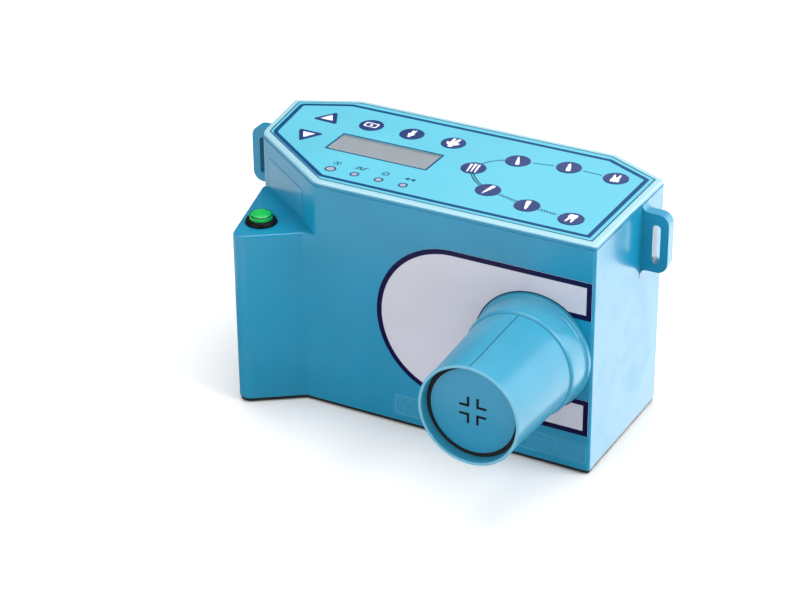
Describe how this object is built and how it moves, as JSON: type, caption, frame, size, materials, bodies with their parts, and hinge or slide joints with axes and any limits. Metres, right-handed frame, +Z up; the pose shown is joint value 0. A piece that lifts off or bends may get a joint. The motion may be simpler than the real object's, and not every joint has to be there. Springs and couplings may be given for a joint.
{
  "type": "portable dental x-ray unit",
  "caption": "Boxy blue hand-held dental x-ray unit with a chamfered keypad panel on top, a round beam cone in front, a side grip with a green exposure button, and strap lugs.",
  "frame": {"origin": "middle of the case footprint (grip and cone left out), on the table under the feet", "axes": "+Z up, cone and beam along -Y, operator and panel text on the +Y side, grip and exposure button at -X, cone at +X"},
  "size_m": [0.2697, 0.1959, 0.1454],
  "materials": {
    "case_blue": "satin moulded plastic",
    "panel_cyan": "printed polyester film, semi-gloss",
    "key_navy": "printed film key, semi-gloss",
    "black_plastic": "matt black",
    "rubber_black": "matt rubber",
    "steel": "zinc plated",
    "window_clear": "clear acrylic",
    "display_grey": "display glass, switched off",
    "led_lens": "frosted light pipe",
    "board_green": "solder mask over glass fibre",
    "decal_grey": "printed label with a navy border",
    "strip_clear": "clear film over the case",
    "button_green": "green button plastic",
    "nut_metal": "nickel plated",
    "spring_steel": "spring wire",
    "aluminium": "milled",
    "lead_grey": "cast lead, dull grey",
    "tube_glass": "clear glass",
    "copper": "machined copper",
    "nickel": "nickel",
    "ferrite": "dull ferrite",
    "winding": "varnished winding",
    "cell_blue": "shrink sleeve",
    "part_dark": "component cases",
    "rocker_red": "red rocker"
  },
  "bodies": {
    "case": {"case_shell": "case_blue", "base_plate": "black_plastic", "rubber_feet": "rubber_black", "base_screws": "steel", "panel_plate": "panel_cyan", "display_window": "window_clear", "display_frame": "part_dark", "display_glass": "display_grey", "led_left": "led_lens", "led_mid_left": "led_lens", "led_mid_right": "led_lens", "led_right": "led_lens", "control_board": "board_green", "key_switches": "part_dark", "board_screws": "steel", "front_decal": "decal_grey", "front_strip": "strip_clear", "side_label": "strip_clear", "button_bezel": "black_plastic", "button_spring": "spring_steel", "button_nut": "nut_metal", "button_switch": "part_dark", "cone_collar": "case_blue", "collar_ring": "part_dark", "cone_tube": "case_blue", "cone_gasket": "rubber_black", "cone_cap": "case_blue", "aim_marks": "black_plastic", "beam_filter": "aluminium", "collimator": "lead_grey", "tank_body": "aluminium", "tank_cover": "aluminium", "tank_screws": "steel", "tube_glass": "tube_glass", "tube_anode": "copper", "tube_cathode": "nickel", "transformer_core": "ferrite", "transformer_coils": "winding", "multiplier_board": "board_green", "battery_cells": "cell_blue", "battery_tray": "black_plastic", "inverter_board": "board_green", "inverter_parts": "part_dark", "heat_sink": "aluminium", "switch_bezel": "black_plastic", "charge_socket": "black_plastic"},
    "key_preset": {"key_preset": "key_navy"},
    "key_child": {"key_child": "key_navy"},
    "key_adult": {"key_adult": "key_navy"},
    "key_lower_1": {"key_lower_1": "key_navy"},
    "key_lower_2": {"key_lower_2": "key_navy"},
    "key_lower_3": {"key_lower_3": "key_navy"},
    "key_lower_4": {"key_lower_4": "key_navy"},
    "key_upper_1": {"key_upper_1": "key_navy"},
    "key_upper_2": {"key_upper_2": "key_navy"},
    "key_upper_3": {"key_upper_3": "key_navy"},
    "key_up": {"key_up": "key_navy"},
    "key_down": {"key_down": "key_navy"},
    "button": {"button_cap": "button_green"},
    "rocker": {"switch_rocker": "rocker_red"}
  },
  "joints": [
    {"name": "key_preset_press", "type": "slide", "parent": "case", "child": "key_preset", "axis": [0, 0, -1], "range_m": [0, 0.0004], "stiffness_N_per_m": 1500, "springref_m": -0.0001},
    {"name": "key_child_press", "type": "slide", "parent": "case", "child": "key_child", "axis": [0, 0, -1], "range_m": [0, 0.0004], "stiffness_N_per_m": 1500, "springref_m": -0.0001},
    {"name": "key_adult_press", "type": "slide", "parent": "case", "child": "key_adult", "axis": [0, 0, -1], "range_m": [0, 0.0004], "stiffness_N_per_m": 1500, "springref_m": -0.0001},
    {"name": "key_lower_1_press", "type": "slide", "parent": "case", "child": "key_lower_1", "axis": [0, 0, -1], "range_m": [0, 0.0004], "stiffness_N_per_m": 1500, "springref_m": -0.0001},
    {"name": "key_lower_2_press", "type": "slide", "parent": "case", "child": "key_lower_2", "axis": [0, 0, -1], "range_m": [0, 0.0004], "stiffness_N_per_m": 1500, "springref_m": -0.0001},
    {"name": "key_lower_3_press", "type": "slide", "parent": "case", "child": "key_lower_3", "axis": [0, 0, -1], "range_m": [0, 0.0004], "stiffness_N_per_m": 1500, "springref_m": -0.0001},
    {"name": "key_lower_4_press", "type": "slide", "parent": "case", "child": "key_lower_4", "axis": [0, 0, -1], "range_m": [0, 0.0004], "stiffness_N_per_m": 1500, "springref_m": -0.0001},
    {"name": "key_upper_1_press", "type": "slide", "parent": "case", "child": "key_upper_1", "axis": [0, 0, -1], "range_m": [0, 0.0004], "stiffness_N_per_m": 1500, "springref_m": -0.0001},
    {"name": "key_upper_2_press", "type": "slide", "parent": "case", "child": "key_upper_2", "axis": [0, 0, -1], "range_m": [0, 0.0004], "stiffness_N_per_m": 1500, "springref_m": -0.0001},
    {"name": "key_upper_3_press", "type": "slide", "parent": "case", "child": "key_upper_3", "axis": [0, 0, -1], "range_m": [0, 0.0004], "stiffness_N_per_m": 1500, "springref_m": -0.0001},
    {"name": "key_up_press", "type": "slide", "parent": "case", "child": "key_up", "axis": [0, 0, -1], "range_m": [0, 0.0004], "stiffness_N_per_m": 1500, "springref_m": -0.0001},
    {"name": "key_down_press", "type": "slide", "parent": "case", "child": "key_down", "axis": [0, 0, -1], "range_m": [0, 0.0004], "stiffness_N_per_m": 1500, "springref_m": -0.0001},
    {"name": "button_press", "type": "slide", "parent": "case", "child": "button", "axis": [0, 0, -1], "range_m": [0, 0.0018], "stiffness_N_per_m": 900, "springref_m": -0.001, "deforming": ["button_spring"]},
    {"name": "rocker_swing", "type": "hinge", "parent": "case", "child": "rocker", "pos_m": [-0.06, 0.0535, 0.042], "axis": [1, 0, 0], "range_deg": [0, 20]}
  ]
}
